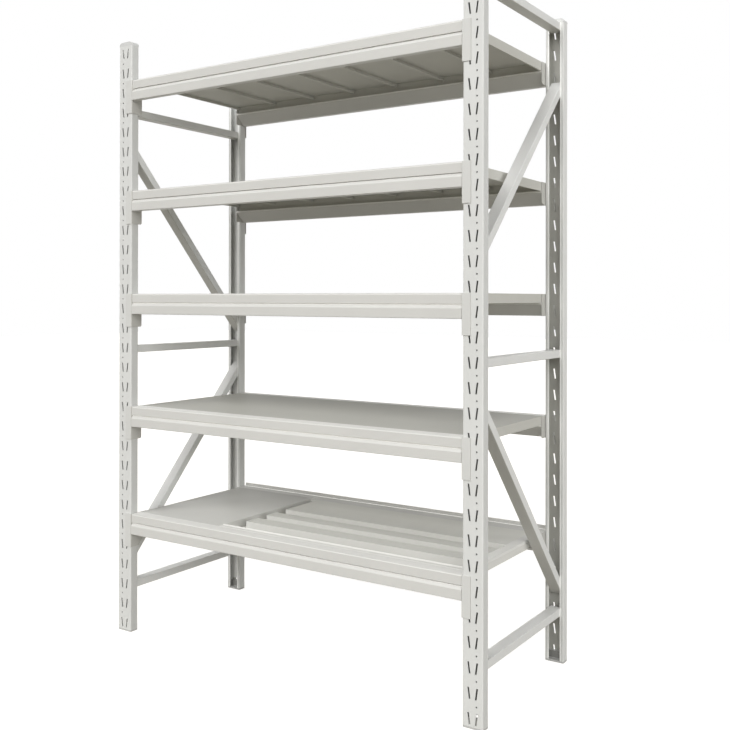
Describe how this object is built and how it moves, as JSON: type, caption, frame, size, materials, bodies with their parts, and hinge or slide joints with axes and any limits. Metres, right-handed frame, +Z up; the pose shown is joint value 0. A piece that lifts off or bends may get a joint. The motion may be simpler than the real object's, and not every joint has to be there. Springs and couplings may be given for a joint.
{
  "type": "seedling starter rack",
  "caption": "Free-standing boltless steel rack with slotted posts, stepped beams and loose deck panels, for seed trays, with a partly slatted lowest tier.",
  "frame": {"origin": "middle of the footprint, on the floor under the feet", "axes": "+X to the right along the beams, -Y to the front, +Z up"},
  "size_m": [1.251, 0.5224, 1.8],
  "materials": {
    "post": "light grey powder coat, satin",
    "brace": "light grey powder coat, satin",
    "beam": "light grey powder coat, satin",
    "bracket": "light grey powder coat, satin",
    "deck": "light grey powder coat, satin",
    "slat_frame": "light grey powder coat, satin",
    "slat": "light grey powder coat, satin",
    "cap": "light grey moulded plastic",
    "foot": "grey moulded plastic"
  },
  "bodies": {
    "frame": {"upright_fl": "post", "upright_fr": "post", "upright_bl": "post", "upright_br": "post", "top_cap_fl": "cap", "top_cap_fr": "cap", "top_cap_bl": "cap", "top_cap_br": "cap", "foot_fl": "foot", "foot_fr": "foot", "foot_bl": "foot", "foot_br": "foot", "strut_left_low": "brace", "strut_left_mid": "brace", "strut_left_high": "brace", "strut_right_low": "brace", "strut_right_mid": "brace", "strut_right_high": "brace", "diagonal_left_lower": "brace", "diagonal_left_upper": "brace", "diagonal_right_lower": "brace", "diagonal_right_upper": "brace"},
    "shelf_1": {"beam_front_1": "beam", "beam_back_1": "beam", "brackets_front_1": "bracket", "brackets_back_1": "bracket"},
    "shelf_2": {"beam_front_2": "beam", "beam_back_2": "beam", "brackets_front_2": "bracket", "brackets_back_2": "bracket"},
    "shelf_3": {"beam_front_3": "beam", "beam_back_3": "beam", "brackets_front_3": "bracket", "brackets_back_3": "bracket"},
    "shelf_4": {"beam_front_4": "beam", "beam_back_4": "beam", "brackets_front_4": "bracket", "brackets_back_4": "bracket"},
    "shelf_5": {"beam_front_5": "beam", "beam_back_5": "beam", "brackets_front_5": "bracket", "brackets_back_5": "bracket"},
    "panels_1": {"deck_1": "deck"},
    "panels_2": {"deck_2": "deck"},
    "panels_3": {"deck_3": "deck"},
    "panels_4": {"deck_4": "deck"},
    "panels_5": {"flat_panels_5": "deck"},
    "slatted_deck_5": {"slat_frame": "slat_frame", "slats": "slat"}
  },
  "joints": [
    {"name": "shelf_1_unhook", "type": "slide", "parent": "frame", "child": "shelf_1", "axis": [0, 0, 1], "range_m": [0, 0.009]},
    {"name": "shelf_2_unhook", "type": "slide", "parent": "frame", "child": "shelf_2", "axis": [0, 0, 1], "range_m": [0, 0.009]},
    {"name": "shelf_3_unhook", "type": "slide", "parent": "frame", "child": "shelf_3", "axis": [0, 0, 1], "range_m": [0, 0.009]},
    {"name": "shelf_4_unhook", "type": "slide", "parent": "frame", "child": "shelf_4", "axis": [0, 0, 1], "range_m": [0, 0.009]},
    {"name": "shelf_5_unhook", "type": "slide", "parent": "frame", "child": "shelf_5", "axis": [0, 0, 1], "range_m": [0, 0.009]},
    {"name": "panels_1_lift", "type": "slide", "parent": "shelf_1", "child": "panels_1", "axis": [0, 0, 1], "range_m": [0, 0.045]},
    {"name": "panels_2_lift", "type": "slide", "parent": "shelf_2", "child": "panels_2", "axis": [0, 0, 1], "range_m": [0, 0.045]},
    {"name": "panels_3_lift", "type": "slide", "parent": "shelf_3", "child": "panels_3", "axis": [0, 0, 1], "range_m": [0, 0.045]},
    {"name": "panels_4_lift", "type": "slide", "parent": "shelf_4", "child": "panels_4", "axis": [0, 0, 1], "range_m": [0, 0.045]},
    {"name": "panels_5_lift", "type": "slide", "parent": "shelf_5", "child": "panels_5", "axis": [0, 0, 1], "range_m": [0, 0.045]},
    {"name": "slatted_deck_5_lift", "type": "slide", "parent": "shelf_5", "child": "slatted_deck_5", "axis": [0, 0, 1], "range_m": [0, 0.045]}
  ]
}
